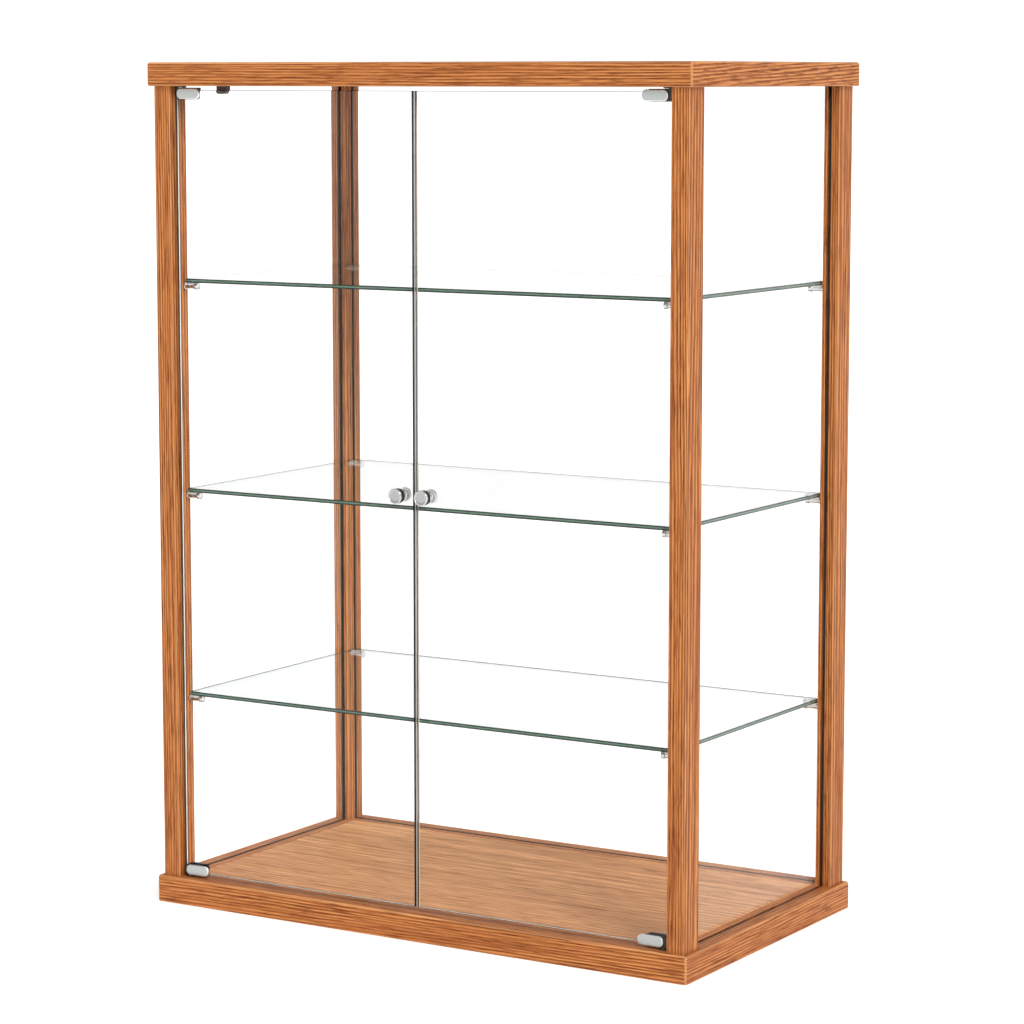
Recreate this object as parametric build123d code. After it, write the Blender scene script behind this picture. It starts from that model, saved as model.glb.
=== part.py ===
from build123d import *
import os

# Tabletop display case: wooden frame, glass sides and back, three glass shelves, two inset glass doors.
# Millimetres, +Z up, +X to the right and the doors at the front, facing -Y. The origin is the centre of
# the base's underside. The left and right halves mirror each other, apart from the single door stop.

# ---- overall sizes ----
WIDTH = 606.0
DEPTH = 340.0
HEIGHT = 838.0
BASE_HEIGHT = 27.0
TOP_HEIGHT = 23.0
OVERHANG = 5.0

# ---- mitred rails of the base and the top ----
RAIL_WIDTH = 28.0
LEDGE = 6.0
PANEL_THICKNESS = 12.0
PANEL_GAP = 0.9
CORNER_ROUND = 3.0
UPPER_ROUND = 2.5
LOWER_ROUND = 1.5

# ---- posts ----
POST_WIDTH = 19.0
POST_DEPTH = 28.0
POST_ROUND = 1.5

# ---- fixed panes: 4 mm glass in a groove, held by a strip on its outer side ----
PANE = 4.0
STRIP = 1.6
POST_GROOVE = 3.5
RAIL_GROOVE = 5.0
EDGE_GAP = 0.5

# ---- shelves and the pins that carry them ----
SHELF = 4.0
SHELF_TOPS = {"lower": 214.0, "middle": 419.0, "upper": 627.0}
SHELF_END_GAP = 3.0
PIN_Y = 142.7
PIN_DROP = 3.6
PIN_SHANK_RADIUS = 2.0
PIN_SHANK = 8.0
PIN_FLANGE_RADIUS = 3.5
PIN_FLANGE = 2.0
PIN_BODY_RADIUS = 2.6
PIN_HEAD_RADIUS = 3.5
PIN_HEAD_START = 13.0
PIN_LENGTH = 17.0
CUSHION_RADIUS = 4.1
CUSHION_WIDTH = 4.8

# ---- doors ----
DOOR = 5.0
DOOR_RECESS = 8.0
DOOR_SIDE_GAP = 2.0
DOOR_END_GAP = 4.0
MEETING_GAP = 3.0
PIVOT_FROM_EDGE = 5.5
PIVOT_FORWARD = 1.0
KNOB_X = 14.6
KNOB_Z = 430.0
KNOB_HOLE_RADIUS = 4.0

# ---- pivot hinges ----
CLAMP_LENGTH = 23.0
CLAMP_TALL = 11.4
CLAMP_PAD = 0.5
FRONT_JAW = 1.5
BACK_JAW = 3.0
WEB = 2.5
COVER_LENGTH = 27.0
COVER_TALL = 10.4
COVER_THICK = 2.2
COVER_INSET = 2.5
COVER_RISE = 7.3
PIN_RADIUS = 2.0
BUSH_RADIUS = 4.0
BUSH_FLANGE_RADIUS = 5.0
BUSH_DEPTH = 8.0
PIN_CLEARANCE = 0.08

# ---- derived positions ----
POST_OUT_X = WIDTH / 2 - OVERHANG
POST_IN_X = POST_OUT_X - POST_WIDTH
POST_OUT_Y = DEPTH / 2 - OVERHANG
POST_IN_Y = POST_OUT_Y - POST_DEPTH
TOP_Z = HEIGHT - TOP_HEIGHT
SEAT_X = WIDTH / 2 - RAIL_WIDTH
SEAT_Y = DEPTH / 2 - RAIL_WIDTH
OPENING_X = SEAT_X - LEDGE
OPENING_Y = SEAT_Y - LEDGE
POST_MID_X = POST_OUT_X - POST_WIDTH / 2
POST_MID_Y = POST_OUT_Y - POST_DEPTH / 2
STRIP_IN_X = POST_MID_X - STRIP / 2
SIDE_PANE_IN_X = STRIP_IN_X - PANE
BACK_PANE_Y = POST_MID_Y - PANE / 2
BACK_STRIP_Y = BACK_PANE_Y + PANE
GROOVE_Y = POST_IN_Y + POST_GROOVE
GROOVE_X = POST_IN_X + POST_GROOVE
GROOVE_LOW = BASE_HEIGHT - RAIL_GROOVE
GROOVE_HIGH = TOP_Z + RAIL_GROOVE
SHELF_X = POST_IN_X - SHELF_END_GAP
SHELF_Y = BACK_PANE_Y - 1.5
DOOR_FRONT = -POST_OUT_Y + DOOR_RECESS
DOOR_BACK = DOOR_FRONT + DOOR
DOOR_OUT_X = POST_IN_X - DOOR_SIDE_GAP
DOOR_LOW = BASE_HEIGHT + DOOR_END_GAP
DOOR_HIGH = TOP_Z - DOOR_END_GAP
PIVOT_X = DOOR_OUT_X - PIVOT_FROM_EDGE
PIVOT_Y = (DOOR_FRONT + DOOR_BACK) / 2 - PIVOT_FORWARD
JAW_FRONT = DOOR_FRONT - CLAMP_PAD - FRONT_JAW
JAW_BACK = DOOR_BACK + CLAMP_PAD + BACK_JAW
PANE_LOW = GROOVE_LOW + EDGE_GAP
PANE_HIGH = GROOVE_HIGH - EDGE_GAP

# ---- fasteners ----
POST_SCREW_YS = (147.0, 158.0)
POST_SCREW_TOP = 60.0
DOWEL_RADIUS = 3.0
DOWEL_HALF = 12.0
SPLINE_SIZE = (12.0, 10.0, 4.0)
SPLINE_FROM_OPENING = 7.5
STOP_X = -226.5
STOP_WIDTH = 11.5
STOP_DEPTH = 8.0
STOP_DROP = 7.5
STOP_GAP = 0.4

SIDES = {"left": -1, "right": 1}


# ---- helpers ----
def block(x0, x1, y0, y1, z0, z1):
    """A box between two opposite corners."""
    size = Box(abs(x1 - x0), abs(y1 - y0), abs(z1 - z0))
    return Pos((x0 + x1) / 2, (y0 + y1) / 2, (z0 + z1) / 2) * size


def rod(radius, x, y, z0, z1):
    """An upright cylinder from z0 to z1."""
    return Pos(x, y, (z0 + z1) / 2) * Cylinder(radius, abs(z1 - z0))


def turned(profile):
    """A solid of revolution about Z from (radius, height) points."""
    outline = [(0.0, profile[0][1]), *profile, (0.0, profile[-1][1])]
    face = make_face(Plane.XZ * Polyline(*outline, close=True))
    return revolve(face, Axis.Z)


def cross_recess(width, thickness, depth):
    """The cross that a screwdriver enters, cut downwards from z = 0."""
    arm = Box(width, thickness, depth)
    return Pos(0, 0, -depth / 2) * (arm + Rot(0, 0, 90) * arm)


def hex_recess(across, depth):
    """The hexagon that a key enters, cut downwards from z = 0."""
    return extrude(RegularPolygon(across / 2, 6, major_radius=False), -depth)


def countersunk_screw(head_radius, shank_radius, length):
    """A wood screw whose flat head lies at z = 0 and whose point hangs below it."""
    taper = head_radius - shank_radius
    blank = turned([
        (head_radius, 0.0),
        (head_radius, -0.3),
        (shank_radius, -0.3 - taper),
        (shank_radius, -length + shank_radius * 1.5),
        (0.15, -length),
    ])
    return blank - cross_recess(head_radius * 1.1, head_radius * 0.22, head_radius * 0.4)


def screw_seat(head_radius, shank_radius, length):
    """The countersunk hole that the same screw fills."""
    taper = head_radius - shank_radius
    return turned([
        (head_radius, 0.0),
        (head_radius, -0.3),
        (shank_radius, -0.3 - taper),
        (shank_radius, -length),
    ])


def solids_of(parts):
    """Many separate solids as one compound."""
    loose = []
    for part in parts:
        loose.extend(part.solids())
    return Compound(children=loose)


def save(name, part):
    export_step(part, f"parts/{name}.step")


# ---- grooves, holes and seats that the wood shares with what sits in it ----
def pane_grooves():
    """Grooves for the two side panes and the back pane, with their strips."""
    grooves = []
    for sign in SIDES.values():
        inner = sign * SIDE_PANE_IN_X
        outer = sign * (STRIP_IN_X + STRIP)
        grooves.append(block(inner, outer, -GROOVE_Y, GROOVE_Y, GROOVE_LOW, GROOVE_HIGH))
    rear = block(-GROOVE_X, GROOVE_X, BACK_PANE_Y, BACK_STRIP_Y + STRIP, GROOVE_LOW, GROOVE_HIGH)
    grooves.append(rear)
    return grooves


def post_spots():
    """Every place where a fastener joins a post to a rail, as (x, y)."""
    return [(sx * POST_MID_X, sy * y) for sx in (-1, 1) for sy in (-1, 1) for y in POST_SCREW_YS]


def place_post_screws(make):
    """Upright screws from the base's underside: the head at z = 0, pointing up."""
    return [Pos(x, y, 0) * Rot(180, 0, 0) * make(4.0, 2.0, POST_SCREW_TOP) for x, y in post_spots()]


def post_dowels():
    return [rod(DOWEL_RADIUS, x, y, TOP_Z - DOWEL_HALF, TOP_Z + DOWEL_HALF) for x, y in post_spots()]


def pin_places(shelf_top):
    """The four pin origins of a shelf, on the posts' inner faces, with the turn that faces inwards."""
    z = shelf_top - SHELF - PIN_DROP
    places = []
    for y in (-PIN_Y, PIN_Y):
        places.append(Pos(-POST_IN_X, y, z))
        places.append(Pos(POST_IN_X, y, z) * Rot(0, 0, 180))
    return places


def pin_bore():
    """The blind hole in the post that a pin is pressed into."""
    return Pos(-PIN_SHANK / 2, 0, 0) * Rot(0, 90, 0) * Cylinder(PIN_SHANK_RADIUS, PIN_SHANK)


def splines(z):
    """Loose keys across the four mitres, lying flat at height z."""
    keys = []
    for sx in (-1, 1):
        for sy in (-1, 1):
            x = sx * (OPENING_X + SPLINE_FROM_OPENING)
            y = sy * (OPENING_Y + SPLINE_FROM_OPENING)
            keys.append(Pos(x, y, z) * Rot(0, 0, 45 * sx * sy) * Box(*SPLINE_SIZE))
    return keys


BASE_SPLINES = splines(8.0)
TOP_SPLINES = splines(TOP_Z + 8.0)


def stop_screw(make):
    """The door stop's screw, its head below and its point up in the top's front rail."""
    y = DOOR_BACK + STOP_GAP + STOP_DEPTH / 2
    return Pos(STOP_X, y, TOP_Z - STOP_DROP) * Rot(180, 0, 0) * make(2.6, 1.4, 18.0)


# ---- the base and the top: four mitred rails round a flush panel ----
def rail_ring(z0, z1, seat_z0, seat_z1):
    """The whole mitred frame before it is split into rails."""
    ring = block(-WIDTH / 2, WIDTH / 2, -DEPTH / 2, DEPTH / 2, z0, z1)
    ring = fillet(ring.edges().filter_by(Axis.Z), CORNER_ROUND)
    ring = fillet(ring.faces().sort_by(Axis.Z)[-1].edges(), UPPER_ROUND)
    ring = fillet(ring.faces().sort_by(Axis.Z)[0].edges(), LOWER_ROUND)
    ring -= block(-OPENING_X, OPENING_X, -OPENING_Y, OPENING_Y, z0, z1)
    ring -= block(-SEAT_X, SEAT_X, -SEAT_Y, SEAT_Y, seat_z0, seat_z1)
    return ring


def mitre_wedges(z0, z1):
    """Four prisms that meet on the 45 degree mitre lines, named by their side."""
    reach = RAIL_WIDTH * 2
    margin = 1.0
    out_x, out_y = WIDTH / 2 + margin, DEPTH / 2 + margin
    in_x, in_y = WIDTH / 2 - reach, DEPTH / 2 - reach
    outlines = {
        "front": [(-out_x, -out_y), (out_x, -out_y), (in_x, -in_y), (-in_x, -in_y)],
        "back": [(out_x, out_y), (-out_x, out_y), (-in_x, in_y), (in_x, in_y)],
        "left": [(-out_x, out_y), (-out_x, -out_y), (-in_x, -in_y), (-in_x, in_y)],
        "right": [(out_x, -out_y), (out_x, out_y), (in_x, in_y), (in_x, -in_y)],
    }
    wedges = {}
    for side, points in outlines.items():
        face = make_face(Polyline(*points, close=True))
        wedges[side] = Pos(0, 0, z0) * extrude(face, z1 - z0)
    return wedges


def flush_panel(z0, z1):
    """A board that lies in the rails' rebate, level with their upper faces."""
    x, y = SEAT_X - PANEL_GAP, SEAT_Y - PANEL_GAP
    board = block(-x, x, -y, y, z0, z1)
    return chamfer(board.faces().sort_by(Axis.Z)[-1].edges(), 0.5)


def make_base():
    ring = rail_ring(0, BASE_HEIGHT, BASE_HEIGHT - PANEL_THICKNESS, BASE_HEIGHT)
    for groove in pane_grooves():
        ring -= groove
    for seat in place_post_screws(screw_seat):
        ring -= seat
    for key in BASE_SPLINES:
        ring -= key
    for sign in SIDES.values():
        ring -= rod(BUSH_RADIUS, sign * PIVOT_X, PIVOT_Y, BASE_HEIGHT - BUSH_DEPTH, BASE_HEIGHT)
    for side, wedge in mitre_wedges(0, BASE_HEIGHT).items():
        save(f"base_{side}_rail", ring & wedge)
    save("floor_panel", flush_panel(BASE_HEIGHT - PANEL_THICKNESS, BASE_HEIGHT))
    save("base_mitre_splines", solids_of(BASE_SPLINES))


def make_top():
    ring = rail_ring(TOP_Z, HEIGHT, HEIGHT - PANEL_THICKNESS, HEIGHT)
    for groove in pane_grooves():
        ring -= groove
    for dowel in post_dowels():
        ring -= dowel
    for key in TOP_SPLINES:
        ring -= key
    for sign in SIDES.values():
        ring -= rod(BUSH_RADIUS, sign * PIVOT_X, PIVOT_Y, TOP_Z, TOP_Z + BUSH_DEPTH)
    ring -= stop_screw(screw_seat)
    for side, wedge in mitre_wedges(TOP_Z, HEIGHT).items():
        save(f"top_{side}_rail", ring & wedge)
    save("top_panel", flush_panel(HEIGHT - PANEL_THICKNESS, HEIGHT))
    save("top_mitre_splines", solids_of(TOP_SPLINES))


# ---- the posts ----
def make_posts():
    cuts = pane_grooves() + place_post_screws(screw_seat) + post_dowels()
    for shelf_top in SHELF_TOPS.values():
        for place in pin_places(shelf_top):
            cuts.append(place * pin_bore())
    for side, sx in SIDES.items():
        for end, sy in {"front": -1, "back": 1}.items():
            x0, x1 = sx * POST_IN_X, sx * POST_OUT_X
            y0, y1 = sy * POST_IN_Y, sy * POST_OUT_Y
            post = block(x0, x1, y0, y1, BASE_HEIGHT, TOP_Z)
            post = fillet(post.edges().filter_by(Axis.Z), POST_ROUND)
            for cut in cuts:
                post -= cut
            save(f"{end}_{side}_post", post)
    save("post_base_screws", solids_of(place_post_screws(countersunk_screw)))
    save("post_top_dowels", solids_of(post_dowels()))


# ---- the fixed panes and the strips that hold them ----
def make_panes():
    pane_y = GROOVE_Y - EDGE_GAP
    pane_x = GROOVE_X - EDGE_GAP
    for side, sign in SIDES.items():
        inner, outer = sign * SIDE_PANE_IN_X, sign * STRIP_IN_X
        save(f"{side}_side_pane", block(inner, outer, -pane_y, pane_y, PANE_LOW, PANE_HIGH))
        edge = sign * (STRIP_IN_X + STRIP)
        strip = block(outer, edge, -GROOVE_Y, GROOVE_Y, GROOVE_LOW, GROOVE_HIGH)
        strip -= block(outer, edge, -POST_IN_Y, POST_IN_Y, BASE_HEIGHT, TOP_Z)
        save(f"{side}_glazing_strip", strip)
    save("back_pane", block(-pane_x, pane_x, BACK_PANE_Y, BACK_STRIP_Y, PANE_LOW, PANE_HIGH))
    rear = BACK_STRIP_Y + STRIP
    strip = block(-GROOVE_X, GROOVE_X, BACK_STRIP_Y, rear, GROOVE_LOW, GROOVE_HIGH)
    strip -= block(-POST_IN_X, POST_IN_X, BACK_STRIP_Y, rear, BASE_HEIGHT, TOP_Z)
    save("back_glazing_strip", strip)


# ---- the shelves and their pins ----
def shelf_plate(top):
    plate = block(-SHELF_X, SHELF_X, -SHELF_Y, SHELF_Y, top - SHELF, top)
    plate = fillet(plate.edges().filter_by(Axis.Z), 4.0)
    plate = chamfer(plate.faces().sort_by(Axis.Z)[-1].edges(), 0.4)
    return chamfer(plate.faces().sort_by(Axis.Z)[0].edges(), 0.4)


def shelf_pin():
    """A turned pin along +X: a shank in the post, then a flange, a body and a head that carry the glass."""
    lathe = turned([
        (PIN_SHANK_RADIUS - 0.3, -PIN_SHANK),
        (PIN_SHANK_RADIUS, -PIN_SHANK + 0.4),
        (PIN_SHANK_RADIUS, 0.0),
        (PIN_FLANGE_RADIUS, 0.0),
        (PIN_FLANGE_RADIUS, PIN_FLANGE - 0.6),
        (PIN_FLANGE_RADIUS - 0.6, PIN_FLANGE),
        (PIN_BODY_RADIUS, PIN_FLANGE),
        (PIN_BODY_RADIUS, PIN_HEAD_START),
        (PIN_HEAD_RADIUS - 0.4, PIN_HEAD_START),
        (PIN_HEAD_RADIUS, PIN_HEAD_START + 0.4),
        (PIN_HEAD_RADIUS, PIN_LENGTH - 0.6),
        (PIN_HEAD_RADIUS - 0.6, PIN_LENGTH),
    ])
    return Rot(0, 90, 0) * lathe


def pin_cushion():
    """A rubber saddle on the pin's body, with a flat top for the glass."""
    x0, x1 = PIN_FLANGE + 0.2, PIN_HEAD_START - 0.3
    middle = Pos((x0 + x1) / 2, 0, 0) * Rot(0, 90, 0)
    saddle = middle * Cylinder(CUSHION_RADIUS, x1 - x0)
    saddle -= middle * Cylinder(PIN_BODY_RADIUS, x1 - x0 + 1)
    half = CUSHION_WIDTH / 2
    return saddle & block(x0, x1, -half, half, 0, PIN_DROP)


def make_shelves():
    cushions = []
    for level, top in SHELF_TOPS.items():
        save(f"{level}_shelf", shelf_plate(top))
        places = pin_places(top)
        save(f"{level}_shelf_pins", solids_of([place * shelf_pin() for place in places]))
        cushions += [place * pin_cushion() for place in places]
    save("shelf_pin_cushions", solids_of(cushions))


# ---- the doors: everything below is drawn for the left door's lower corner and mirrored ----
def mirrored(part, right, upper):
    if upper:
        part = Pos(0, 0, BASE_HEIGHT + TOP_Z) * mirror(part, about=Plane.XY)
    if right:
        part = mirror(part, about=Plane.YZ)
    return part


CLAMP_OUT_X = -DOOR_OUT_X + 1.0
CLAMP_IN_X = CLAMP_OUT_X + CLAMP_LENGTH
CLAMP_LOW = DOOR_LOW - WEB
CLAMP_HIGH = CLAMP_LOW + CLAMP_TALL
COVER_Z = BASE_HEIGHT + COVER_RISE
SET_SCREW_XS = (CLAMP_OUT_X + 8.5, CLAMP_OUT_X + 17.5)


def set_screw_hole(x):
    middle = (DOOR_BACK + CLAMP_PAD + JAW_BACK) / 2
    return Pos(x, middle, COVER_Z) * Rot(90, 0, 0) * Cylinder(2.0, BACK_JAW)


def hinge_clamp():
    """A U-shaped shoe over the glass edge, carrying the pin in its web."""
    shoe = block(CLAMP_OUT_X, CLAMP_IN_X, JAW_FRONT, JAW_BACK, CLAMP_LOW, CLAMP_HIGH)
    upright = shoe.edges().filter_by(Axis.Y).group_by(Axis.Z)[-1]
    shoe = fillet(upright, 3.0)
    slot_front, slot_back = DOOR_FRONT - CLAMP_PAD, DOOR_BACK + CLAMP_PAD
    shoe -= block(CLAMP_OUT_X - 1, CLAMP_IN_X + 1, slot_front, slot_back, DOOR_LOW, CLAMP_HIGH + 1)
    shoe -= rod(PIN_RADIUS, -PIVOT_X, PIVOT_Y, CLAMP_LOW - 1, DOOR_LOW)
    for x in SET_SCREW_XS:
        shoe -= set_screw_hole(x)
    return shoe


def hinge_cover():
    """The pill-shaped plate that hides the shoe's front jaw."""
    outline = RectangleRounded(COVER_LENGTH, COVER_TALL, COVER_TALL / 2 - 0.6)
    plate = Rot(90, 0, 0) * extrude(outline, COVER_THICK)
    middle = CLAMP_OUT_X + COVER_INSET + COVER_LENGTH / 2
    plate = Pos(middle, JAW_FRONT, COVER_Z) * plate
    return fillet(plate.faces().sort_by(Axis.Y)[0].edges(), 0.9)


def hinge_pads():
    x0, x1 = CLAMP_OUT_X + 1.0, CLAMP_IN_X - 1.0
    z0, z1 = DOOR_LOW + 0.5, CLAMP_HIGH - 0.8
    return [
        block(x0, x1, DOOR_FRONT - CLAMP_PAD, DOOR_FRONT, z0, z1),
        block(x0, x1, DOOR_BACK, DOOR_BACK + CLAMP_PAD, z0, z1),
    ]


def hinge_screws():
    screws = []
    for x in SET_SCREW_XS:
        face = Pos(x, JAW_BACK, COVER_Z) * Rot(-90, 0, 0)
        screws.append(set_screw_hole(x) - face * hex_recess(2.0, 1.8))
    return screws


def pivot_pin():
    """A steel pin with a thin collar that carries the door on the bush."""
    low = BASE_HEIGHT - BUSH_DEPTH + 1.3
    pin = rod(PIN_RADIUS, -PIVOT_X, PIVOT_Y, low, DOOR_LOW)
    pin = chamfer(pin.edges().sort_by(Axis.Z)[0], 0.5)
    return pin + rod(3.4, -PIVOT_X, PIVOT_Y, CLAMP_LOW - 0.45, CLAMP_LOW)


def pivot_bush():
    """A flanged bush pressed into the rail, blind at its far end."""
    low = BASE_HEIGHT - BUSH_DEPTH
    bush = rod(BUSH_RADIUS, -PIVOT_X, PIVOT_Y, low, BASE_HEIGHT)
    bush += rod(BUSH_FLANGE_RADIUS, -PIVOT_X, PIVOT_Y, BASE_HEIGHT, BASE_HEIGHT + 1.0)
    bore = rod(PIN_RADIUS + PIN_CLEARANCE, -PIVOT_X, PIVOT_Y, low + 1.0, BASE_HEIGHT + 1.0)
    return bush - bore


def door_glass():
    x1 = -MEETING_GAP / 2
    pane = block(-DOOR_OUT_X, x1, DOOR_FRONT, DOOR_BACK, DOOR_LOW, DOOR_HIGH)
    pane = chamfer(pane.faces().sort_by(Axis.Y)[0].edges(), 0.4)
    pane = chamfer(pane.faces().sort_by(Axis.Y)[-1].edges(), 0.4)
    hole = Rot(90, 0, 0) * Cylinder(KNOB_HOLE_RADIUS, DOOR * 2)
    return pane - Pos(-KNOB_X, (DOOR_FRONT + DOOR_BACK) / 2, KNOB_Z) * hole


KNOB_FRONT = Pos(-KNOB_X, DOOR_FRONT, KNOB_Z) * Rot(90, 0, 0)
KNOB_REAR = Pos(-KNOB_X, DOOR_BACK, KNOB_Z) * Rot(-90, 0, 0)


def knob():
    """Turned knob: foot, barrel, a deep ring groove and a flat head. z = 0 is the washer's face."""
    body = turned([
        (5.9, 0.0),
        (6.4, 0.5),
        (6.4, 1.3),
        (5.7, 1.6),
        (5.7, 2.1),
        (6.7, 2.6),
        (6.7, 4.6),
        (6.4, 4.9),
        (5.6, 4.9),
        (5.6, 9.6),
        (7.1, 9.6),
        (7.4, 9.9),
        (7.4, 11.2),
        (6.7, 12.0),
        (6.4, 12.0),
        (6.2, 11.8),
    ])
    body -= Pos(0, 0, 4.0) * Cylinder(2.0, 8.0)
    return KNOB_FRONT * Pos(0, 0, 1.0) * body


def knob_washers():
    """A soft washer with a sleeve through the glass, and a plain one behind it."""
    front = Pos(0, 0, 0.5) * Cylinder(6.2, 1.0)
    front += Pos(0, 0, -DOOR / 2) * Cylinder(KNOB_HOLE_RADIUS - 0.05, DOOR)
    front -= Pos(0, 0, -DOOR / 2) * Cylinder(2.0, DOOR * 2)
    rear = Pos(0, 0, 0.5) * (Cylinder(6.2, 1.0) - Cylinder(2.0, 1.0))
    return solids_of([KNOB_FRONT * front, KNOB_REAR * rear])


def knob_screw():
    """A broad domed head behind the glass and a shank that reaches into the knob."""
    head = turned([(2.0, -DOOR - 8.0), (2.0, 1.0), (6.8, 1.0), (6.8, 2.6), (6.2, 3.4), (4.4, 3.9)])
    head -= Pos(0, 0, 3.9) * hex_recess(3.0, 1.8)
    return KNOB_REAR * head


def make_doors():
    for side in SIDES:
        right = side == "right"
        save(f"{side}_door_glass", mirrored(door_glass(), right, False))
        save(f"{side}_lower_hinge_clamp", mirrored(hinge_clamp(), right, False))
        save(f"{side}_upper_hinge_clamp", mirrored(hinge_clamp(), right, True))
        save(f"{side}_lower_hinge_cover", mirrored(hinge_cover(), right, False))
        save(f"{side}_upper_hinge_cover", mirrored(hinge_cover(), right, True))
        pads = [mirrored(pad, right, upper) for upper in (False, True) for pad in hinge_pads()]
        save(f"{side}_hinge_pads", solids_of(pads))
        screws = [mirrored(screw, right, upper) for upper in (False, True) for screw in hinge_screws()]
        save(f"{side}_hinge_screws", solids_of(screws))
        pins = [mirrored(pivot_pin(), right, upper) for upper in (False, True)]
        save(f"{side}_pivot_pins", solids_of(pins))
        save(f"{side}_knob", mirrored(knob(), right, False))
        save(f"{side}_knob_washers", mirrored(knob_washers(), right, False))
        save(f"{side}_knob_screw", mirrored(knob_screw(), right, False))
    for level, upper in {"lower": False, "upper": True}.items():
        bushes = [mirrored(pivot_bush(), right, upper) for right in (False, True)]
        save(f"{level}_pivot_bushes", solids_of(bushes))


def make_door_stop():
    """A small rounded block under the top, just behind the left door's glass."""
    x0, x1 = STOP_X - STOP_WIDTH / 2, STOP_X + STOP_WIDTH / 2
    y0 = DOOR_BACK + STOP_GAP
    stop = block(x0, x1, y0, y0 + STOP_DEPTH, TOP_Z - STOP_DROP, TOP_Z)
    lower = stop.faces().sort_by(Axis.Z)[0].edges().filter_by(Axis.Y)
    stop = fillet(lower, 3.2)
    stop = fillet(stop.edges().filter_by(Axis.Z), 1.0)
    save("door_stop", stop - stop_screw(screw_seat))
    save("door_stop_screw", stop_screw(countersunk_screw))


os.makedirs("parts", exist_ok=True)
make_base()
make_top()
make_posts()
make_panes()
make_shelves()
make_doors()
make_door_stop()
print("door pivots at", (-PIVOT_X, PIVOT_Y), (PIVOT_X, PIVOT_Y))
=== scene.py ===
# %% [markdown]
# # A tabletop display case
# The case is a frame of stained, lacquered wood round thin glass, with three glass shelves and two glass
# doors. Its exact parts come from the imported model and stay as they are. This lesson gives each of them a
# finish made of nodes, and turns the small bright metal fittings again as finer pieces.

# %% Load the exact parts
import math

import bmesh
import bpy
from mathutils import Matrix, Vector


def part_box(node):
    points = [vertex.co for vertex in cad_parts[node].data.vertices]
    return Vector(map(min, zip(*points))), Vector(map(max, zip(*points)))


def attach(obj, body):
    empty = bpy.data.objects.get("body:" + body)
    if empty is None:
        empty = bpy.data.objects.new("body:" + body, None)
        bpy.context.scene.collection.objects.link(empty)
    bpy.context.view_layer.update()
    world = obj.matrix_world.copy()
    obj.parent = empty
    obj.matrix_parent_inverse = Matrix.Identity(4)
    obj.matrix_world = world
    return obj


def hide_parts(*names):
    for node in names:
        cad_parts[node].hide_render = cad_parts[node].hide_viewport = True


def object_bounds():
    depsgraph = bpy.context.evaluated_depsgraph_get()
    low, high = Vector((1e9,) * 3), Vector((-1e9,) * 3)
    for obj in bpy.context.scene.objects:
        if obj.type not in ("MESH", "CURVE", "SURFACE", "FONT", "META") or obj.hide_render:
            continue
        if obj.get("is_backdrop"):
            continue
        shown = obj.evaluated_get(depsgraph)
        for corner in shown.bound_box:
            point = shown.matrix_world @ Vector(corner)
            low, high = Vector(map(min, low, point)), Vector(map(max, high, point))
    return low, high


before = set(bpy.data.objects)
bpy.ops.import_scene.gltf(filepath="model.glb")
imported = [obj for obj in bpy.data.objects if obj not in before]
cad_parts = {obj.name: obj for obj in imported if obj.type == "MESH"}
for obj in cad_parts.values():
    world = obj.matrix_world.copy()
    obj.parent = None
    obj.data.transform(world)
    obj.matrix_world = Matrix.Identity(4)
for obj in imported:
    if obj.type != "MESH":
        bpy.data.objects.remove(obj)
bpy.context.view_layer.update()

# %% [markdown]
# ## Two small tools for materials
# Paint and wood colours are noted as sRGB hex codes, but shaders work in linear light, so one function turns
# them. A second one adds a node, gives it its settings, and links or fills its inputs. Longer recipes then
# read from top to bottom, like a mixing list.

# %% Colours and nodes
MM = 0.001


def tone(code, alpha=1.0):
    """An sRGB hex colour as linear red, green, blue and alpha."""
    channels = [int(code[i:i + 2], 16) / 255 for i in (1, 3, 5)]
    linear = [c / 12.92 if c <= 0.04045 else ((c + 0.055) / 1.055) ** 2.4 for c in channels]
    return (*linear, alpha)


def add(tree, kind, inputs=None, **settings):
    """A node of this kind, with its settings made and its inputs filled or linked."""
    made = tree.nodes.new("ShaderNode" + kind)
    for key, value in settings.items():
        setattr(made, key, value)
    for key, value in (inputs or {}).items():
        if isinstance(value, bpy.types.NodeSocket):
            tree.links.new(value, made.inputs[key])
        else:
            made.inputs[key].default_value = value
    return made


def finish(name):
    """An empty material and its node tree."""
    material = bpy.data.materials.new(name)
    material.use_nodes = True
    material.node_tree.nodes.clear()
    return material, material.node_tree


def ramp(tree, factor, stops):
    """Colours along a strip: stops are (place, hex) pairs."""
    made = add(tree, "ValToRGB", {"Fac": factor})
    strip = made.color_ramp.elements
    while len(strip) < len(stops):
        strip.new(0.5)
    for stop, (place, code) in zip(strip, stops):
        stop.position = place
        stop.color = tone(code)
    return made.outputs["Color"]


def wear(name, material):
    """Every slot of a CAD node's object takes this material."""
    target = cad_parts[name]
    if not target.material_slots:
        target.data.materials.append(material)
    for slot in target.material_slots:
        slot.material = material


print("white is", tone("#FFFFFF"))

# %% [markdown]
# ## Camera
# The case is seen from its front right corner, from a little below its top, with a long lens. A long lens
# keeps the uprights nearly parallel. The aim point lies near the middle of the case, and the camera stands
# on a circle round it.

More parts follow.
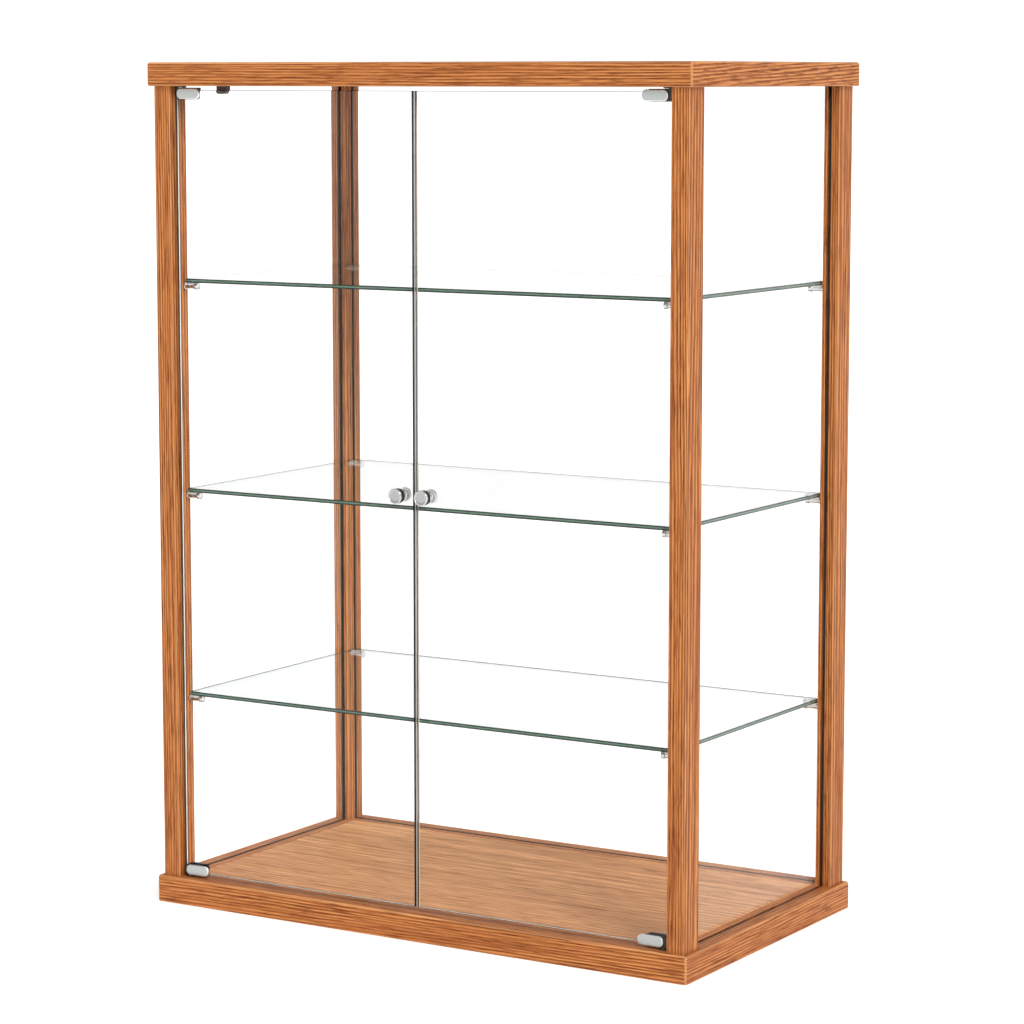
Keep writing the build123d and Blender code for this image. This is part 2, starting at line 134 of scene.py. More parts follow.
# %% Place the camera
AIM = Vector((0.0117, 0.0, 0.398))
STAND_OFF = 3.285
LENS_MM = 117.0
SENSOR_MM = 36.0
TURN = math.radians(31.594)
DIP = math.radians(7.476)
back_to_camera = Vector((
    math.sin(TURN) * math.cos(DIP),
    -math.cos(TURN) * math.cos(DIP),
    math.sin(DIP),
))
lens = bpy.data.cameras.new("long_lens")
lens.lens = LENS_MM
lens.sensor_width = SENSOR_MM
camera = bpy.data.objects.new("camera", lens)
camera.location = AIM + back_to_camera * STAND_OFF
camera.rotation_mode = "QUATERNION"
camera.rotation_quaternion = (-back_to_camera).to_track_quat("-Z", "Y")
bpy.context.scene.collection.objects.link(camera)
bpy.context.scene.camera = camera
print("camera at", tuple(round(v, 3) for v in camera.location))

# %% [markdown]
# ## Studio
# Clear glass and bright metal show little but their surroundings. The studio is white round the horizon, so
# that the panes stay clear, greyer above it with one black strip, so that turned metal gets a dark line, and
# bright overhead, like a softbox. One broad lamp from the right models the posts. The case stands on a sheet
# of white acrylic that is lit from below as well, as in catalogue work: the paleness has no edge, and a soft
# shadow is left only close to the base.

# %% Floor, sky and lamp
SKY_STRENGTH = 1.2
LAMP_STRENGTH = 1.8
LAMP_WIDTH = math.radians(30)
LAMP_TONE = (1.0, 0.98, 0.95)
LAMP_FROM = Vector((0.66, -0.5, 0.6))
SHEET_GLOW = 0.3
SHEET_HALF = 60.0

world = bpy.data.worlds.new("studio")
bpy.context.scene.world = world
world.use_nodes = True
sky = world.node_tree
sky.nodes.clear()
direction = add(sky, "TexCoord").outputs["Generated"]
height = add(sky, "SeparateXYZ", {"Vector": direction}).outputs["Z"]
SKY = [
    (0.0, "#FFFFFF"), (0.05, "#FFFFFF"), (0.1, "#E2E2E2"), (0.38, "#C4C4C5"),
    (0.45, "#2A2A2B"), (0.56, "#2A2A2B"), (0.64, "#C8C8CA"), (0.88, "#FFFFFF"),
]
glow = add(sky, "Background", {"Color": ramp(sky, height, SKY), "Strength": SKY_STRENGTH})
add(sky, "OutputWorld", {"Surface": glow.outputs["Background"]})

lamp_data = bpy.data.lights.new("broad_lamp", "SUN")
lamp_data.energy = LAMP_STRENGTH
lamp_data.angle = LAMP_WIDTH
lamp_data.color = LAMP_TONE
lamp = bpy.data.objects.new("broad_lamp", lamp_data)
lamp.rotation_mode = "QUATERNION"
lamp.rotation_quaternion = LAMP_FROM.to_track_quat("Z", "Y")
bpy.context.scene.collection.objects.link(lamp)

floor_material, tree = finish("lit_white_acrylic")
grit = add(tree, "TexNoise", {"Scale": 60.0, "Detail": 2.0})
floor_shade = ramp(tree, grit.outputs["Fac"], [(0.3, "#F4F4F3"), (0.7, "#F7F7F6")])
acrylic = add(tree, "BsdfPrincipled", {
    "Base Color": floor_shade,
    "Roughness": 0.9,
    "Specular IOR Level": 0.1,
    "Emission Color": tone("#FFFFFF"),
    "Emission Strength": SHEET_GLOW,
})
add(tree, "OutputMaterial", {"Surface": acrylic.outputs["BSDF"]})
sheet = bmesh.new()
bmesh.ops.create_grid(sheet, x_segments=1, y_segments=1, size=SHEET_HALF)
floor_mesh = bpy.data.meshes.new("floor")
sheet.to_mesh(floor_mesh)
sheet.free()
floor_mesh.materials.append(floor_material)
floor = bpy.data.objects.new("floor", floor_mesh)
bpy.context.scene.collection.objects.link(floor)
floor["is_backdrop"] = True
bpy.context.scene.view_settings.view_transform = "Standard"
print("floor", floor.dimensions)

# %% [markdown]
# ## Stained and lacquered softwood
# The frame is straight-grained softwood, planed, stained a warm orange brown and sprayed with satin lacquer.
# Each year's ring ends in a hard dark line, so the face of a member shows fine uneven stripes along its
# length, about 2 mm apart. A wave of rings round a line that runs beside the member gives these stripes on
# all faces and on the end grain at once, because the pattern is solid. That line lies off one corner of the
# section, so the rings meet both visible faces at about 45 degrees, and leaning it a little makes the stripes
# run off the edge, as on a flat-sawn face. Stretched noise adds the fibres between them. Each member gets its
# own place in the log, so no two match at a mitre. Where an edge is rounded, a paler tone is painted on as a
# highlight. The floor and the top are paler, flatter boards from the same recipe. Their thin sides are
# painted nearly black as shade, so the gap all round them reads as a fine dark line.

# %% A recipe for solid wood
GRAIN_TURN = {
    "x": (0.0, 0.0, 0.0),
    "y": (0.0, 0.0, -math.pi / 2),
    "z": (0.0, math.pi / 2, 0.0),
}
WAVE_TURN = 2 * math.pi / 20
LONG_FIBRE = 0.04
SWAY_SPAN = 16 * MM
SWAY = 4.5 * MM
FIBRE = 1.3 * MM
CLOUD = 9 * MM
PORE_DEPTH = 0.15 * MM
# A paler tone painted along rounded edges as a highlight.
EDGE_HIGHLIGHT = "#E3B183"
# A near-black painted shade for the boards' thin sides, so the gap round them looks dark.
GAP_SHADE = "#1A0F08"


def solid_wood(
    name, along, pith, lean, ring, tones, depth=1.0, sheen=0.06, gloss=0.1, raised=0.25, shade_sides=False
):
    """Wood with its grain along x, y or z.

    pith: a point on the log's centre line, in metres; lean: how much that line leans, in degrees, in two
    directions; ring: spacing of the rings in mm; tones: hex colours from early wood to the dark line; depth:
    how far the rings show; sheen and gloss: the coat's weight and the wood's own shine; raised: how strongly
    the grain stands up under the lacquer; shade_sides: whether the faces that don't look up or down are
    painted nearly black as shade. Rounded edges always get a painted highlight.
    """
    material, tree = finish(name)
    coords = add(tree, "TexCoord")
    from_pith = add(
        tree, "VectorMath", {0: coords.outputs["Object"], 1: pith}, operation="SUBTRACT"
    ).outputs[0]
    turn = [base + math.radians(by) for base, by in zip(GRAIN_TURN[along], (0.0, lean[0], lean[1]))]
    log = add(tree, "Mapping", {"Vector": from_pith, "Rotation": turn}).outputs["Vector"]
    drawn = add(tree, "Mapping", {"Vector": log, "Scale": (LONG_FIBRE, 1.0, 1.0)}).outputs["Vector"]
    drift = add(tree, "TexNoise", {"Vector": drawn, "Scale": 1 / SWAY_SPAN, "Detail": 2.0}).outputs["Color"]
    years = add(
        tree, "VectorMath", {0: drift, 1: [SWAY] * 3, 2: drawn}, operation="MULTIPLY_ADD"
    ).outputs[0]
    rings = add(tree, "TexWave", {
        "Vector": years,
        "Scale": WAVE_TURN / (ring * MM),
        "Distortion": 7.0,
        "Detail": 3.0,
        "Detail Scale": 0.3,
        "Detail Roughness": 0.6,
    }, wave_type="RINGS", rings_direction="X", wave_profile="SAW")
    fibres = add(tree, "TexNoise", {
        "Vector": drawn,
        "Scale": 1 / FIBRE,
        "Detail": 4.0,
        "Roughness": 0.62,
    })
    clouds = add(tree, "TexNoise", {
        "Vector": drawn,
        "Scale": 1 / CLOUD,
        "Detail": 3.0,
        "Roughness": 0.55,
    })
    uneven = add(tree, "MapRange", {
        "Value": clouds.outputs["Fac"],
        "From Min": 0.32,
        "From Max": 0.58,
        "To Min": 0.2 * depth,
        "To Max": 0.95 * depth,
    }).outputs["Result"]
    light, middle, dark, line = tones
    one_year = [(0.0, light), (0.3, light), (0.62, dark), (0.84, line), (1.0, middle)]
    striped = ramp(tree, rings.outputs["Fac"], one_year)
    plain = ramp(tree, clouds.outputs["Fac"], [(0.3, dark), (0.48, middle), (0.7, light)])
    stained = add(tree, "Mix", {0: uneven, 6: plain, 7: striped}, data_type="RGBA").outputs[2]
    threads = ramp(tree, fibres.outputs["Fac"], [(0.34, "#A07F68"), (0.52, "#FFFFFF"), (0.75, "#FFFFFF")])
    grained = add(
        tree, "Mix", {0: 0.9, 6: stained, 7: threads}, data_type="RGBA", blend_type="MULTIPLY"
    ).outputs[2]
    along_axis = add(tree, "VectorMath", {0: coords.outputs["Normal"]}, operation="ABSOLUTE").outputs[0]
    sides = add(tree, "SeparateXYZ", {"Vector": along_axis})
    across = add(tree, "Math", {0: sides.outputs[0], 1: sides.outputs[1]}, operation="MAXIMUM").outputs[0]
    flattest = add(tree, "Math", {0: across, 1: sides.outputs[2]}, operation="MAXIMUM").outputs[0]
    # Painted highlight: where the normal leans off every axis, on a rounded edge, a paler tone is mixed in.
    rounded = add(tree, "MapRange", {
        "Value": flattest,
        "From Min": 0.8,
        "From Max": 0.985,
        "To Min": 0.36,
        "To Max": 0.0,
    }).outputs["Result"]
    grain_with_painted_light_and_shade = add(tree, "Mix", {0: rounded, 6: grained, 7: tone(EDGE_HIGHLIGHT)}, data_type="RGBA").outputs[2]
    # Painted shade: faces that don't look up or down go nearly black, for the shade in the gap round a board.
    if shade_sides:
        is_side = add(tree, "Math", {0: sides.outputs[2], 1: 0.5}, operation="LESS_THAN").outputs[0]
        grain_with_painted_light_and_shade = add(tree, "Mix", {0: is_side, 6: grain_with_painted_light_and_shade, 7: tone(GAP_SHADE)}, data_type="RGBA").outputs[2]
    rough = add(tree, "MapRange", {
        "Value": fibres.outputs["Fac"],
        "From Min": 0.3,
        "From Max": 0.7,
        "To Min": 0.56,
        "To Max": 0.42,
    }).outputs["Result"]
    relief = add(tree, "Mix", {0: 0.5, 2: fibres.outputs["Fac"], 3: rings.outputs["Fac"]}).outputs[0]
    pores = add(tree, "Bump", {"Height": relief, "Strength": raised, "Distance": PORE_DEPTH})
    lacquered = add(tree, "BsdfPrincipled", {
        "Base Color": grain_with_painted_light_and_shade,
        "Roughness": rough,
        "Specular IOR Level": gloss,
        "Normal": pores.outputs["Normal"],
        "Coat Weight": sheen,
        "Coat Roughness": 0.25,
    })
    add(tree, "OutputMaterial", {"Surface": lacquered.outputs["BSDF"]})
    return material


def beside(node, offset):
    """A point off the middle of a node by so many millimetres."""
    low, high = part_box(node)
    return [(low[i] + high[i]) / 2 + offset[i] * MM for i in range(3)]


WARM = ("#CE884E", "#B9713B", "#965429", "#6E3815")
members = {
    "base_front_rail": ("x", (0, 52, -48), (0.25, 0.2), 1.9),
    "base_back_rail": ("x", (0, -58, -50), (-0.3, 0.3), 2.0),
    "base_left_rail": ("y", (55, 0, -47), (0.5, -0.6), 1.9),
    "base_right_rail": ("y", (-50, 0, -56), (0.6, 0.5), 1.9),
    "top_front_rail": ("x", (0, 47, -60), (0.3, -0.35), 1.9),
    "top_back_rail": ("x", (0, -52, -44), (0.4, 0.3), 2.0),
    "top_left_rail": ("y", (49, 0, -58), (-0.5, 0.4), 2.0),
    "top_right_rail": ("y", (-30, 0, -34), (2.6, 2.0), 1.9),
    "front_left_post": ("z", (58, 37, 0), (0.2, 0.15), 2.4),
    "front_right_post": ("z", (-60, 33, 0), (0.15, -0.2), 2.4),
    "back_left_post": ("z", (57, -36, 0), (-0.2, 0.2), 2.3),
    "back_right_post": ("z", (-61, -32, 0), (0.2, 0.15), 2.4),
}
for node, (along, off, lean, ring) in members.items():
    wear(node, solid_wood("stained_softwood_" + node, along, beside(node, off), lean, ring, WARM))

PANEL = ("#DFA676", "#CE9464", "#B67E51", "#A06B43")
for node, off in (("floor_panel", (0, 130, -190)), ("top_panel", (0, -110, -170))):
    board = solid_wood(
        "stained_board_" + node, "x", beside(node, off), (0.3, 0.2), 5.0, PANEL,
        depth=0.6, sheen=0.0, gloss=0.04, raised=0.05, shade_sides=True,
    )
    wear(node, board)

BARE = ("#DDBB8A", "#D2AD79", "#BF9660", "#AD834F")
for node, along in (("base_mitre_splines", "x"), ("top_mitre_splines", "x"), ("post_top_dowels", "z")):
    beech = solid_wood(
        "bare_beech_" + node, along, beside(node, (12, 17, 9)), (0.5, 0.5), 1.6, BARE, depth=0.6, sheen=0.0
    )
    wear(node, beech)
print("wooden members:", len(members) + 5)

# %% [markdown]
# ## Float glass
# A pane is clear through its faces, but its polished edge shows the light that has run inside the sheet. Here
# that light is painted: the edge's colour is a strip of painted light and shade. In a shelf it is a cool
# green line, green being the glass's own tint and its brightness painted light, and the small arrises above
# and below it are painted almost black as shade. A door's edge is painted whiter, a painted reflection of the
# bright room behind it, with one painted black line of shade along its front. The edge that faces the post
# is painted black as the shade of the gap, then a pale warm band of painted light. The same recipe serves
# each pane: clear glass where the surface looks along the sheet's thickness, and the painted strip of light
# and shade from one face to the other elsewhere. Show-case glass is coated so that it hardly mirrors the
# room, and a low index of refraction stands for the coating. Lamps have to reach the wood behind a pane, so
# shadow rays pass the clear part.

# %% A recipe for panes
AXIS_NUMBER = {"x": 0, "y": 1, "z": 2}
COATED_INDEX = 1.22


def float_glass(node, across, face, edge_light_stops, outer_light_stops=None, outer_sign=1.0):
    """Glass whose thickness lies along across; the edge's tones run from its low face to its high one.

    outer_light_stops: other painted light and shade for the edge that faces outer_sign along x.
    """
    low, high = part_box(node)
    index = AXIS_NUMBER[across]
    material, tree = finish("float_glass_" + node)
    coords = add(tree, "TexCoord")
    facing = add(tree, "SeparateXYZ", {"Vector": coords.outputs["Normal"]}).outputs[index]
    squareness = add(tree, "Math", {0: facing}, operation="ABSOLUTE").outputs[0]
    is_edge = add(tree, "Math", {0: squareness, 1: 0.9}, operation="LESS_THAN").outputs[0]
    depth = add(tree, "SeparateXYZ", {"Vector": coords.outputs["Object"]}).outputs[index]
    share = add(tree, "MapRange", {
        "Value": depth,
        "From Min": low[index],
        "From Max": high[index],
    }).outputs["Result"]
    # Painted light and shade: the edge's colour is banded from the low face to the high one.
    edge_tone = ramp(tree, share, edge_light_stops)
    if outer_light_stops:
        sideways = add(tree, "SeparateXYZ", {"Vector": coords.outputs["Normal"]}).outputs[0]
        outwards = add(tree, "Math", {0: sideways, 1: outer_sign}, operation="MULTIPLY").outputs[0]
        is_outer = add(tree, "Math", {0: outwards, 1: 0.5}, operation="GREATER_THAN").outputs[0]
        outer_tone = ramp(tree, share, outer_light_stops)
        edge_tone = add(tree, "Mix", {0: is_outer, 6: edge_tone, 7: outer_tone}, data_type="RGBA").outputs[2]
    clear = add(tree, "BsdfPrincipled", {
        "Base Color": tone(face),
        "Roughness": 0.0,
        "IOR": COATED_INDEX,
        "Transmission Weight": 1.0,
    })
    edge = add(tree, "BsdfPrincipled", {
        "Base Color": edge_tone,
        "Roughness": 0.2,
        "Specular IOR Level": 0.25,
    })
    through = add(tree, "BsdfTransparent", {"Color": tone(face)})
    is_shadow = add(tree, "LightPath").outputs["Is Shadow Ray"]
    lamps_pass = add(tree, "MixShader", {0: is_shadow, 1: clear.outputs["BSDF"], 2: through.outputs["BSDF"]})
    pane = add(tree, "MixShader", {0: is_edge, 1: lamps_pass.outputs[0], 2: edge.outputs["BSDF"]})
    add(tree, "OutputMaterial", {"Surface": pane.outputs[0]})
    return material


# Bands of painted light and shade for the polished edges; the green of the shelf edges is also the glass's
# own tint.
SHELF_EDGE_LIGHT_AND_SHADE = [
    (0.0, "#030805"), (0.28, "#08140D"), (0.4, "#4F6E5D"),
    (0.62, "#5A7968"), (0.72, "#10241A"), (1.0, "#08150E"),
]
PANE_EDGE_LIGHT_AND_SHADE = [(0.0, "#1A2420"), (0.25, "#2B3A33"), (0.5, "#93A59A"), (0.8, "#2B3A33")]
DOOR_EDGE_LIGHT_AND_SHADE = [(0.0, "#020202"), (0.52, "#030303"), (0.6, "#FAF9F4"), (0.86, "#FAF9F4"), (0.92, "#5A5B58")]
OUTER_EDGE_LIGHT_AND_SHADE = [(0.0, "#020202"), (0.66, "#030303"), (0.74, "#CDBFAF"), (1.0, "#A99C8E")]
panes = {
    "lower_shelf": ("z", "#F6FAF8", SHELF_EDGE_LIGHT_AND_SHADE),
    "middle_shelf": ("z", "#F6FAF8", SHELF_EDGE_LIGHT_AND_SHADE),
    "upper_shelf": ("z", "#F6FAF8", SHELF_EDGE_LIGHT_AND_SHADE),
    "left_side_pane": ("x", "#FEFEFE", PANE_EDGE_LIGHT_AND_SHADE),
    "right_side_pane": ("x", "#FEFEFE", PANE_EDGE_LIGHT_AND_SHADE),
    "back_pane": ("y", "#FEFEFE", PANE_EDGE_LIGHT_AND_SHADE),
    "left_door_glass": ("y", "#FEFEFE", DOOR_EDGE_LIGHT_AND_SHADE, OUTER_EDGE_LIGHT_AND_SHADE, -1.0),
    "right_door_glass": ("y", "#FEFEFE", DOOR_EDGE_LIGHT_AND_SHADE, OUTER_EDGE_LIGHT_AND_SHADE, 1.0),
}
for node, recipe in panes.items():
    wear(node, float_glass(node, *recipe))
print("panes:", len(panes))

# %% [markdown]
# ## Metal, rubber and plastic
# The shelf pins are turned brass with polished chrome, the hinge covers are die-cast with a satin nickel
# finish, and the hinge bodies are black lacquered steel. Metals differ mostly in how sharply they mirror, so
# their roughness is uneven at the scale of the polish: fine lines for brushed faces, and a faint mottle
# elsewhere. Rubber, nylon and soft plastic get a low sheen and a faint mottle from the mould.

# %% Recipes for metals and plastics
SKIN_DEPTH = 0.05 * MM


def metal(name, face, rim, roughness, spread, grain_mm, stretch=(1, 1, 1)):
    """Metal with flat faces of one tone and rounded rims of another, brighter one: a painted highlight."""
    material, tree = finish(name)
    coords = add(tree, "TexCoord")
    drawn = add(tree, "Mapping", {"Vector": coords.outputs["Object"], "Scale": stretch}).outputs["Vector"]
    polish = add(tree, "TexNoise", {"Vector": drawn, "Scale": 1 / (grain_mm * MM), "Detail": 3.0})
    rough = add(tree, "MapRange", {
        "Value": polish.outputs["Fac"],
        "From Min": 0.3,
        "From Max": 0.7,
        "To Min": max(roughness - spread, 0.02),
        "To Max": roughness + spread,
    }).outputs["Result"]
    forward = add(tree, "SeparateXYZ", {"Vector": coords.outputs["Normal"]}).outputs[1]
    flatness = add(tree, "Math", {0: forward}, operation="ABSOLUTE").outputs[0]
    # Painted highlight: faces that don't look along y, such as rounded rims, take the brighter rim tone.
    shade = ramp(tree, flatness, [(0.0, rim), (0.93, rim), (0.985, face)])
    lines = add(tree, "Bump", {"Height": polish.outputs["Fac"], "Strength": 0.06, "Distance": SKIN_DEPTH})
    surface = add(tree, "BsdfPrincipled", {
        "Base Color": shade,
        "Metallic": 1.0,
        "Roughness": rough,
        "Normal": lines.outputs["Normal"],
    })
    add(tree, "OutputMaterial", {"Surface": surface.outputs["BSDF"]})
    return material


def moulded(name, low, high, roughness, grain_mm):
    """A plain coloured skin, mottled between two tones, for plastic, rubber and lacquered steel."""
    material, tree = finish(name)
    place = add(tree, "TexCoord").outputs["Object"]
    mottle = add(tree, "TexNoise", {"Vector": place, "Scale": 1 / (grain_mm * MM), "Detail": 3.0})
    shade = ramp(tree, mottle.outputs["Fac"], [(0.3, low), (0.7, high)])
    rough = add(tree, "MapRange", {
        "Value": mottle.outputs["Fac"],
        "From Min": 0.3,
        "From Max": 0.7,
        "To Min": roughness - 0.06,
        "To Max": roughness + 0.06,
    }).outputs["Result"]
    skin = add(tree, "Bump", {"Height": mottle.outputs["Fac"], "Strength": 0.15, "Distance": SKIN_DEPTH})
    surface = add(tree, "BsdfPrincipled", {
        "Base Color": shade,
        "Roughness": rough,
        "Normal": skin.outputs["Normal"],
    })
    add(tree, "OutputMaterial", {"Surface": surface.outputs["BSDF"]})
    return material


# The second tone of each metal is its painted rim highlight, strongest on the knobs and the hinge covers.
chrome = metal("polished_chrome", "#CFD0D1", "#D2D3D4", 0.08, 0.04, 1.5)
satin_nickel = metal("satin_nickel", "#B4B8B6", "#F4F4F3", 0.34, 0.05, 0.5, (0.05, 1, 1))
turned_alloy = metal("turned_alloy", "#A9AAAB", "#D6D7D8", 0.08, 0.03, 0.6)
black_steel = moulded("black_lacquered_steel", "#0B0B0B", "#131312", 0.32, 0.8)
zinc_steel = metal("zinc_plated_steel", "#B9B8B2", "#BCBBB5", 0.28, 0.08, 0.8)
soft_black = moulded("black_rubber", "#0A0A0A", "#121211", 0.7, 0.5)
black_nylon = moulded("black_nylon", "#121212", "#1A1A19", 0.45, 0.7)
clear_cushion = moulded("milky_pvc", "#D5D8D6", "#E2E4E2", 0.4, 0.7)
strip_black = moulded("black_glazing_strip", "#0C0B0A", "#16130F", 0.6, 1.2)
strip_brown = moulded("brown_glazing_strip", "#3B2416", "#4A2E1D", 0.55, 1.2)
stop_brown = moulded("dark_brown_nylon", "#3A241D", "#4E312A", 0.42, 0.9)

finishes = {
    zinc_steel: ["post_base_screws", "door_stop_screw"],
    black_nylon: ["lower_pivot_bushes", "upper_pivot_bushes"],
    clear_cushion: ["shelf_pin_cushions"],
    strip_black: ["left_glazing_strip", "right_glazing_strip"],
    strip_brown: ["back_glazing_strip"],
    stop_brown: ["door_stop"],
    black_steel: [],
    soft_black: [],
}
for side in ("left", "right"):
    finishes[black_steel] += [f"{side}_lower_hinge_clamp", f"{side}_upper_hinge_clamp"]
    finishes[soft_black].append(f"{side}_hinge_pads")
    finishes[zinc_steel] += [f"{side}_hinge_screws", f"{side}_pivot_pins"]
for material, names in finishes.items():
    for node in names:
        wear(node, material)
print("small parts finished:", sum(len(names) for names in finishes.values()))

# %% [markdown]
# ## Turned fittings
# A lathe makes the knobs and the shelf pins, so a profile spun round an axis makes them here. A profile is a
# list of radii and heights in millimetres. Sharp corners stay sharp because faces that meet at more than 35
# degrees keep an edge, and the short slopes between them are the tool's small chamfers, which catch the
# light.

# %% The lathe
ROUND_STEPS = 64
SAME_PLACE = 1e-6
CREASE = math.radians(35)
AXIS_TURN = {
    "+x": Matrix.Rotation(math.pi / 2, 4, "Y"),
    "-x": Matrix.Rotation(-math.pi / 2, 4, "Y"),
    "+y": Matrix.Rotation(-math.pi / 2, 4, "X"),
    "-y": Matrix.Rotation(math.pi / 2, 4, "X"),
}


def spin_into(shape, profile, towards, at):
    """Add a turned solid to a bmesh: its axis starts at the point and runs towards an axis' end."""
    points = [(0.0, profile[0][1]), *profile, (0.0, profile[-1][1])]
    place = Matrix.Translation(at) @ AXIS_TURN[towards]
    turned = bmesh.new()
    ring = [turned.verts.new((radius * MM, 0.0, rise * MM)) for radius, rise in points]
    edges = [turned.edges.new(pair) for pair in zip(ring, ring[1:])]
    bmesh.ops.spin(
        turned,
        geom=ring + edges,
        cent=(0, 0, 0),
        axis=(0, 0, 1),
        angle=2 * math.pi,
        steps=ROUND_STEPS,
        use_merge=True,
    )
    bmesh.ops.remove_doubles(turned, verts=turned.verts, dist=SAME_PLACE)
    bmesh.ops.recalc_face_normals(turned, faces=turned.faces)
    turned.transform(place)
    part = bpy.data.meshes.new("turned")
    turned.to_mesh(part)
    turned.free()
    shape.from_mesh(part)
    bpy.data.meshes.remove(part)


def fitting(name, shape, material, body, replaced=()):
    """A finished object from a bmesh, which rides on a body and may stand for CAD nodes."""
    mesh = bpy.data.meshes.new(name)
    shape.to_mesh(mesh)
    shape.free()
    mesh.shade_smooth()
    mesh.set_sharp_from_angle(angle=CREASE)
    mesh.materials.append(material)
    piece = bpy.data.objects.new(name, mesh)
    bpy.context.scene.collection.objects.link(piece)
    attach(piece, body)
    if replaced:
        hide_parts(*replaced)
    return piece


print("a full turn has", ROUND_STEPS, "steps")

# %% [markdown]
# ## Knobs
# Each door is pulled by one turned knob. It has a foot, a groove that holds a black ring, and a head with a
# slightly hollow face. A soft washer keeps metal off the glass on both sides, and a rounded disc behind the
# door takes the screw. The knob's profile starts at its washer and ends at its face.

# %% Turn the knobs
KNOB_PROFILE = [
    (5.5, 0.0), (5.9, 0.1), (6.35, 0.5), (6.4, 1.2), (6.25, 1.45), (5.7, 1.6), (5.7, 2.1), (6.3, 2.3),
    (6.65, 2.6), (6.7, 3.0), (6.7, 4.2), (6.6, 4.6), (6.3, 4.9), (5.6, 4.9), (5.6, 9.6), (6.95, 9.6),
    (7.3, 9.75), (7.4, 10.1), (7.4, 11.2), (7.3, 11.6), (7.0, 11.9), (6.65, 12.0), (6.4, 11.95),
    (6.25, 11.78), (6.1, 11.7), (3.0, 11.62),
]
RING_PROFILE = [
    (5.62, 5.0), (6.8, 5.0), (7.1, 5.2), (7.2, 5.6), (7.2, 9.0), (7.1, 9.4), (6.8, 9.58), (5.62, 9.58),
]
WASHER_THICK = 1.0
WASHER_PROFILE = [(5.9, 0.0), (6.2, 0.15), (6.2, 0.85), (5.9, WASHER_THICK)]
DISC_PROFILE = [
    (6.5, 0.0), (6.75, 0.15), (6.8, 0.5), (6.8, 1.6), (6.6, 2.1), (6.0, 2.5), (4.8, 2.8), (3.2, 2.9),
    (2.0, 2.9), (1.8, 2.8), (1.8, 1.4),
]
for side in ("left", "right"):
    body = side + "_door"
    low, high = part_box(side + "_knob")
    x, z = (low[0] + high[0]) / 2, (low[2] + high[2]) / 2
    glass_low, glass_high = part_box(side + "_door_glass")
    foot = Vector((x, high[1], z))
    lathe = bmesh.new()
    spin_into(lathe, KNOB_PROFILE, "-y", foot)
    fitting(side + "_turned_knob", lathe, turned_alloy, body, [side + "_knob"])
    lathe = bmesh.new()
    spin_into(lathe, RING_PROFILE, "-y", foot)
    fitting(side + "_knob_ring", lathe, soft_black, body)
    lathe = bmesh.new()
    spin_into(lathe, WASHER_PROFILE, "-y", Vector((x, glass_low[1], z)))
    spin_into(lathe, WASHER_PROFILE, "+y", Vector((x, glass_high[1], z)))
    fitting(side + "_soft_washers", lathe, clear_cushion, body, [side + "_knob_washers"])
    lathe = bmesh.new()
    spin_into(lathe, DISC_PROFILE, "+y", Vector((x, glass_high[1] + WASHER_THICK * MM, z)))
    fitting(side + "_rear_disc", lathe, turned_alloy, body, [side + "_knob_screw"])

# %% [markdown]
# ## Shelf pins
# Four pins carry each shelf. A pin has a flange against the post, a plain body under the glass and a round
# head. The part of it inside the post can't be seen, so the profile starts at the flange. The four pins of a
# shelf share one mesh, and the exact part's box says where they stand.

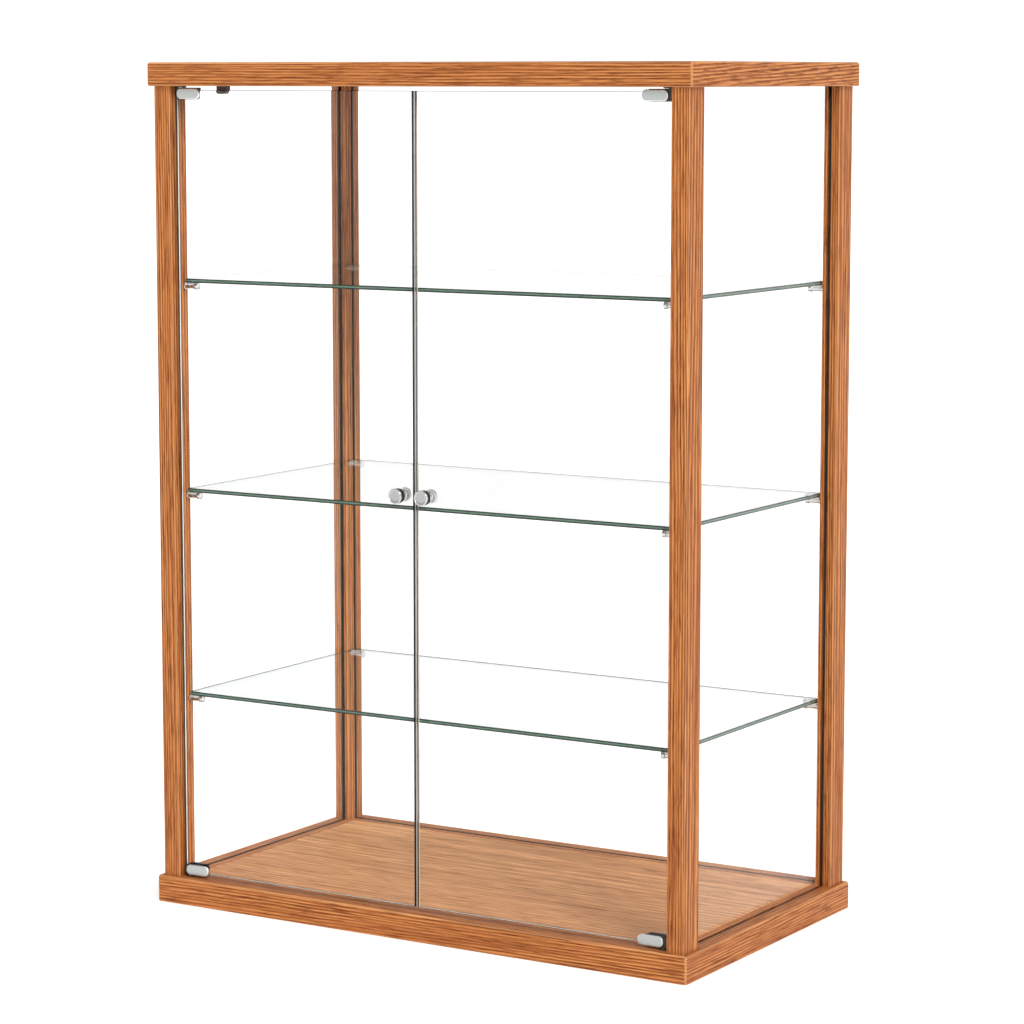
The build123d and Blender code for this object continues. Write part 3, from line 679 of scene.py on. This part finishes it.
# %% Turn the shelf pins
PIN_PROFILE = [
    (3.3, 0.0), (3.5, 0.2), (3.5, 1.4), (3.35, 1.8), (3.0, 2.0), (2.75, 2.05), (2.6, 2.2), (2.6, 12.7),
    (2.8, 12.95), (3.1, 13.0), (3.4, 13.15), (3.5, 13.4), (3.5, 16.4), (3.35, 16.8), (3.0, 17.0),
    (2.6, 17.0), (2.3, 16.7), (1.9, 16.6),
]
PIN_RADIUS = 3.5
PIN_ROOT = 8.0
for level in ("lower", "middle", "upper"):
    low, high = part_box(level + "_shelf_pins")
    z = (low[2] + high[2]) / 2
    lathe = bmesh.new()
    for y in (low[1] + PIN_RADIUS * MM, high[1] - PIN_RADIUS * MM):
        spin_into(lathe, PIN_PROFILE, "+x", Vector((low[0] + PIN_ROOT * MM, y, z)))
        spin_into(lathe, PIN_PROFILE, "-x", Vector((high[0] - PIN_ROOT * MM, y, z)))
    fitting(level + "_turned_pins", lathe, chrome, "case", [level + "_shelf_pins"])
print("shelf pins: 12, each", PIN_PROFILE[-3][1], "mm long past the post")

# %% [markdown]
# ## Hinge covers
# Each cover is a small cast plate with round ends. It starts as a block. Its four upright corners are rounded
# until the ends are nearly half circles, and then the rim of the front face is softened, so that the light
# runs round it as a bright line. The satin nickel finish also paints that rim brighter, a painted highlight.

# %% Cast covers
END_ROUND = 0.44
END_STEPS = 14
RIM_ROUND = 0.95 * MM
RIM_STEPS = 5
for side in ("left", "right"):
    for level in ("lower", "upper"):
        node = f"{side}_{level}_hinge_cover"
        low, high = (Vector(corner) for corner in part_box(node))
        size = high - low
        plate = bmesh.new()
        bmesh.ops.create_cube(plate, size=1.0)
        plate.transform(Matrix.Translation((low + high) / 2) @ Matrix.Diagonal((*size, 1.0)))
        ends = [e for e in plate.edges if abs(e.verts[0].co.y - e.verts[1].co.y) > size.y / 2]
        bmesh.ops.bevel(
            plate,
            geom=ends,
            offset=size.z * END_ROUND,
            segments=END_STEPS,
            profile=0.5,
            affect="EDGES",
            material=-1,
        )
        front = [f for f in plate.faces if f.normal.y < -0.9]
        rim = list(front[0].edges)
        bmesh.ops.bevel(
            plate, geom=rim, offset=RIM_ROUND, segments=RIM_STEPS, profile=0.5, affect="EDGES", material=-1
        )
        bmesh.ops.remove_doubles(plate, verts=plate.verts, dist=SAME_PLACE)
        bmesh.ops.recalc_face_normals(plate, faces=plate.faces)
        fitting(f"{side}_{level}_cast_cover", plate, satin_nickel, side + "_door", [node])
print("hinge covers: 4, each", [round(v / MM, 1) for v in size])

# %% [markdown]
# ## Sizes, and the end
# The finished model has to fill the same box as its exact parts, so the box round every shown piece is
# measured.

# %% Measure the finished size
low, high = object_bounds()
